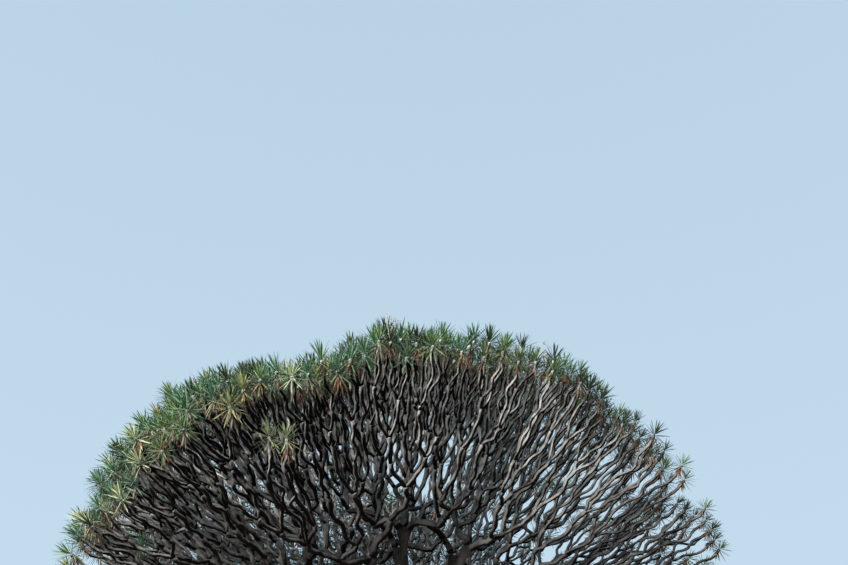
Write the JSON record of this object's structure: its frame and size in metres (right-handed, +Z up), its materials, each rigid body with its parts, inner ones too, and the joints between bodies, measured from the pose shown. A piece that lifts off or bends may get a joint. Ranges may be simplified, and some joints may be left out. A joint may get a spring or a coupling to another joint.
{
  "type": "dragon tree",
  "caption": "Old umbrella-crowned dragon tree: stout fluted trunk cut flat at the ground, boughs fanning from its head, and masses of forking branches tipped with sword-leaf rosettes.",
  "frame": {"origin": "centre of the trunk's flat cut at ground level, at the mount ground", "axes": "+Z up the trunk, -Y towards the side seen in the picture, +X to the right in it"},
  "size_m": [21.5952, 19.7532, 15.1958],
  "materials": {
    "bark": "rough grey bark, fluted and ringed",
    "bough_bark": "smoother silver-grey bark with leaf-scar rings",
    "foliage": "leathery blue-green sword leaves on grey twigs"
  },
  "bodies": {
    "root": {"trunk": "bark", "bough_01": "bough_bark", "bough_02": "bough_bark", "bough_03": "bough_bark", "bough_04": "bough_bark", "bough_05": "bough_bark", "bough_06": "bough_bark", "bough_07": "bough_bark", "bough_08": "bough_bark", "bough_09": "bough_bark", "bough_10": "bough_bark", "bough_11": "bough_bark", "bough_12": "bough_bark", "bough_13": "bough_bark", "bough_14": "bough_bark", "bough_15": "bough_bark", "bough_16": "bough_bark", "crown_mass_01": "foliage", "crown_mass_02": "foliage", "crown_mass_03": "foliage", "crown_mass_04": "foliage", "crown_mass_05": "foliage", "crown_mass_06": "foliage", "crown_mass_07": "foliage", "crown_mass_08": "foliage", "crown_mass_09": "foliage", "crown_mass_10": "foliage", "crown_mass_11": "foliage", "crown_mass_12": "foliage", "crown_mass_13": "foliage", "crown_mass_14": "foliage", "crown_mass_15": "foliage", "crown_mass_16": "foliage", "crown_mass_17": "foliage", "crown_mass_18": "foliage", "crown_mass_19": "foliage", "crown_mass_20": "foliage", "crown_mass_21": "foliage", "crown_mass_22": "foliage", "crown_mass_23": "foliage", "crown_mass_24": "foliage", "crown_mass_25": "foliage", "crown_mass_26": "foliage", "crown_mass_27": "foliage", "crown_mass_28": "foliage", "crown_mass_29": "foliage", "crown_mass_30": "foliage", "crown_mass_31": "foliage", "crown_mass_32": "foliage", "crown_mass_33": "foliage", "crown_mass_34": "foliage", "crown_mass_35": "foliage", "crown_mass_36": "foliage", "crown_mass_37": "foliage", "crown_mass_38": "foliage", "crown_mass_39": "foliage", "crown_mass_40": "foliage", "crown_mass_41": "foliage"}
  },
  "joints": []
}
